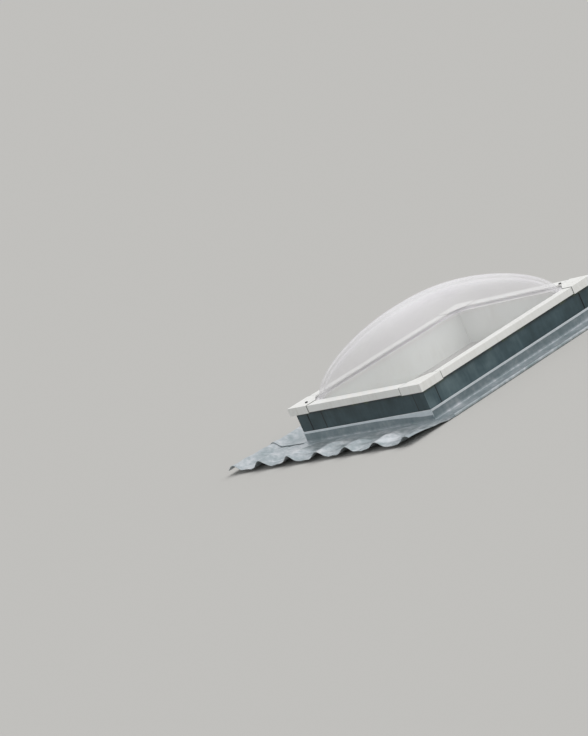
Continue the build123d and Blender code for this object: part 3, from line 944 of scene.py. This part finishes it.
class ROOFLIGHT_OT_cladding(RooflightOperator, bpy.types.Operator):
    """Finish the coated sheets round the kerb and their corner covers"""

    bl_idname = "rooflight.cladding"
    bl_label = "Cladding"

    def execute(self, context):
        look = context.scene.rooflight_frame
        cover_low, cover_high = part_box("corner_cover_front_right")
        joints = (cover_low.x, -cover_high.y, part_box("cladding_front_infill")[1].x)
        steel = coated_steel("Plastisol-coated steel sheet", look, joints)
        for side in SIDES:
            dress(f"cladding_{side}", steel)
        dress("cladding_front_infill", steel)
        for corner in CORNERS:
            dress(f"corner_cover_{corner}", steel)
        return {"FINISHED"}


class ROOFLIGHT_OT_flashing(RooflightOperator, bpy.types.Operator):
    """Dress the lead over the rolls in front and beside the kerb"""

    bl_idname = "rooflight.flashing"
    bl_label = "Lead flashing"

    def execute(self, context):
        lead = context.scene.rooflight_flashing
        sheet = sheet_lead("Milled sheet lead, code 4", lead)
        half = lead.thickness / 2
        wrap = stand_half(lead)
        foot = (lead.fold_radius, half)
        upstand = upstand_path(lead, lead.welt)
        beside = with_steps(rounded_path(upstand + [foot], lead.fold_radius))
        grids = {"front_apron": [self.apron(lead), self.apron_upstand(lead)]}

        gutter = gutter_path(lead, RIGHT_HIGH.x - CLADDING_X)
        right = with_steps(rounded_path(upstand + gutter, lead.fold_radius))
        grids["side_flashing_right"] = [even_strip("right", right, RIGHT_LOW.y, RIGHT_HIGH.y, lead)]

        flat_out = -lead.first_crest - lead.roll_width / 2 - CLADDING_X
        over = [foot]
        for out in evenly(flat_out, -LEFT_LOW.x - CLADDING_X, ROLL_STEPS):
            over.append((out, half + roll_rise(lead, -CLADDING_X - out - lead.first_crest)))
        over = with_steps([Vector(point) for point in over])
        lap_end = LEFT_HIGH.y + lead.lap
        grids["side_flashing_left"] = [
            even_strip("left", beside, LEFT_LOW.y, LEFT_HIGH.y, lead, lapped=True),
            even_strip("left", over, LEFT_LOW.y, lap_end, lead, lapped=True),
        ]

        base = [foot] + gutter_path(lead, BACK_HIGH.y - CLADDING_Y)
        base = with_steps(rounded_path(base, lead.fold_radius))
        grids["back_gutter"] = [
            even_strip("back", base, BACK_LOW.x, BACK_HIGH.x, lead),
            even_strip("back", beside, -wrap, wrap, lead),
        ]
        for node, sheets in grids.items():
            self.lay(lead, sheet, node, sheets)
        return {"FINISHED"}

    def lay(self, lead, material, node, sheets):
        """Make one flashing of the grids of its sheets and let it stand for its CAD node."""
        bm = bmesh.new()
        for grid in sheets:
            sheet_mesh(bm, grid, lead.thickness)
        bmesh.ops.recalc_face_normals(bm, faces=bm.faces)
        mesh = bpy.data.meshes.new(f"lead_{node}")
        bm.to_mesh(mesh)
        bm.free()
        # Painted shade on the upstand, painted highlights on its folded edge and creases
        wear = mesh.attributes.new("wear", "FLOAT", "POINT")
        for vert in mesh.vertices:
            wear.data[vert.index].value = painted_lead_light(vert.co)
        mesh.shade_smooth()
        mesh.materials.append(material)
        made = bpy.data.objects.new(mesh.name, mesh)
        bpy.context.scene.collection.objects.link(made)
        stand_for(made, node, 35)

    def apron(self, lead):
        """The grid of the apron, from its ragged tail up to the fold."""
        crests = roll_crests(lead)
        reach = APRON_HIGH.y - APRON_LOW.y
        grid = []
        for x in evenly(APRON_LOW.x, APRON_HIGH.x, APRON_COLUMNS):
            # Beside the kerb there is no fold, so the apron starts closer to its line
            start = lead.fold_radius * (1.0 if abs(x) < stand_half(lead) else NO_FOLD_SHARE)
            wave = 0.5 + 0.5 * noise.noise(Vector((x / TAIL_WAVE, 2.0, 0.0)))
            tail = reach - TAIL_WAVE_DEPTH * wave
            shares = [1 - j / APRON_ROWS for j in range(APRON_ROWS + 1)]
            grid.append([apron_place(lead, crests, x, start + (tail - start) * t) for t in shares])
        return grid

    def apron_upstand(self, lead):
        """The grid of the apron's upstand, whose welt widens to the right."""
        wrap = stand_half(lead)
        sections = []
        for along in evenly(-wrap, wrap, STAND_COLUMNS):
            widened = clamped((along - WELT_START) / lead.widening)
            welt = lead.welt + (lead.wide_welt - lead.welt) * widened * widened
            stand = upstand_path(lead, welt) + [(lead.fold_radius, lead.thickness / 2)]
            points = rounded_path(stand, lead.fold_radius)
            # All sections need the same steps, so these are counted and not measured
            section = []
            for k, (before, after) in enumerate(zip(points, points[1:])):
                straight = k == 0 or (after - before).length > STRAIGHT
                count = WELT_STEPS if straight else 1
                section += [before.lerp(after, n / count) for n in range(count)]
            sections.append(section + [points[-1]])
        return strip_grid("front", sections, -wrap, wrap, lead)


class ROOFLIGHT_OT_stage(RooflightOperator, bpy.types.Operator):
    """Lay the floor, light it softly and set the camera"""

    bl_idname = "rooflight.stage"
    bl_label = "Floor, light and camera"

    def execute(self, context):
        stage = context.scene.rooflight_stage
        scene = context.scene
        scene.view_settings.view_transform = "Standard"
        # A line of sight crosses up to 16 faces of the clear skins and their rims
        scene.cycles.transparent_max_bounces = 32
        self.floor(scene, stage)
        self.sky(scene, stage)
        self.key_light(scene, stage)
        self.camera(scene, stage)
        return {"FINISHED"}

    def floor(self, scene, stage):
        """A plain pale floor, far wider than the view."""
        level = cad_low.z - FLOOR_GAP
        corners = [(-1, -1), (1, -1), (1, 1), (-1, 1)]
        places = [(x * FLOOR_HALF, y * FLOOR_HALF, level) for x, y in corners]
        mesh = bpy.data.meshes.new("Floor")
        mesh.from_pydata(places, [], [(0, 1, 2, 3)])
        made, tree = new_material("Pale matt floor")
        close_material(tree, {"Color": stage.floor}, "ShaderNodeBsdfDiffuse")
        mesh.materials.append(made)
        floor = bpy.data.objects.new("Floor", mesh)
        scene.collection.objects.link(floor)

    def sky(self, scene, stage):
        """Even light from all round; camera, glossy and transmitted rays see it pale."""
        world = bpy.data.worlds.new("Sky")
        scene.world = world
        world.use_nodes = True
        tree = world.node_tree
        tree.nodes.clear()
        path = add(tree, "ShaderNodeLightPath")
        seen = path.outputs["Is Camera Ray"]
        for ray in ("Is Glossy Ray", "Is Transmission Ray"):
            seen = add(tree, "ShaderNodeMath", [seen, path.outputs[ray]], operation="MAXIMUM")
        white, pale = colour("ffffff"), colour("f2f2f4")
        light = add(tree, "ShaderNodeBackground", {"Color": white, "Strength": stage.sky})
        shown = add(tree, "ShaderNodeBackground", {"Color": pale, "Strength": 1.0})
        both = add(tree, "ShaderNodeMixShader", [seen, light, shown])
        add(tree, "ShaderNodeOutputWorld", [both])

    def key_light(self, scene, stage):
        """A wide soft lamp from above, which no gloss shows."""
        light = bpy.data.lights.new("Soft key", "SUN")
        light.energy = stage.sun
        light.angle = stage.softness
        lamp = bpy.data.objects.new("Soft key", light)
        scene.collection.objects.link(lamp)
        lamp.visible_glossy = False
        lamp.rotation_euler = LIGHT_FROM.to_track_quat("Z", "Y").to_euler()

    def camera(self, scene, stage):
        """The photograph's view: from the target it turns three times and then moves back."""
        place = Matrix.Translation(CAMERA_TARGET)
        tilt = math.pi / 2 - stage.elevation
        for turn, axis in ((stage.azimuth, "Z"), (tilt, "X"), (stage.roll, "Z")):
            place @= Matrix.Rotation(turn, 4, axis)
        place @= Matrix.Translation((0, 0, stage.distance))
        data = bpy.data.cameras.new("Camera")
        data.lens = stage.lens
        camera = bpy.data.objects.new("Camera", data)
        scene.collection.objects.link(camera)
        camera.matrix_world = place
        scene.camera = camera


class ROOFLIGHT_PT_panel(bpy.types.Panel):
    """The steps that build the rooflight, in their order"""

    bl_idname = "ROOFLIGHT_PT_panel"
    bl_label = "Rooflight"
    bl_space_type = "VIEW_3D"
    bl_region_type = "UI"
    bl_category = "Rooflight"

    def draw(self, context):
        for step in STEPS:
            self.layout.operator(step.bl_idname)
        for group in GROUPS:
            box = self.layout.box()
            settings = getattr(context.scene, group)
            for name in settings.__annotations__:
                box.prop(settings, name)


STEPS = (
    ROOFLIGHT_OT_frame,
    ROOFLIGHT_OT_cladding,
    ROOFLIGHT_OT_dome,
    ROOFLIGHT_OT_fixings,
    ROOFLIGHT_OT_flashing,
    ROOFLIGHT_OT_stage,
)
GROUPS = {
    "rooflight_dome": RooflightDome,
    "rooflight_frame": RooflightFrame,
    "rooflight_flashing": RooflightFlashing,
    "rooflight_stage": RooflightStage,
}


def register():
    """Register settings, operators and panel."""
    for name, group in GROUPS.items():
        bpy.utils.register_class(group)
        setattr(bpy.types.Scene, name, PointerProperty(type=group))
    for step in STEPS:
        bpy.utils.register_class(step)
    bpy.utils.register_class(ROOFLIGHT_PT_panel)


def unregister():
    """Take them out again, in the reverse order."""
    bpy.utils.unregister_class(ROOFLIGHT_PT_panel)
    for step in reversed(STEPS):
        bpy.utils.unregister_class(step)
    for name, group in reversed(GROUPS.items()):
        delattr(bpy.types.Scene, name)
        bpy.utils.unregister_class(group)


def main():
    """Build the looks step by step."""
    register()
    bpy.ops.rooflight.frame()
    bpy.ops.rooflight.cladding()
    bpy.ops.rooflight.dome()
    bpy.ops.rooflight.fixings()
    bpy.ops.rooflight.flashing()
    bpy.ops.rooflight.stage()


if __name__ == "__main__":
    main()
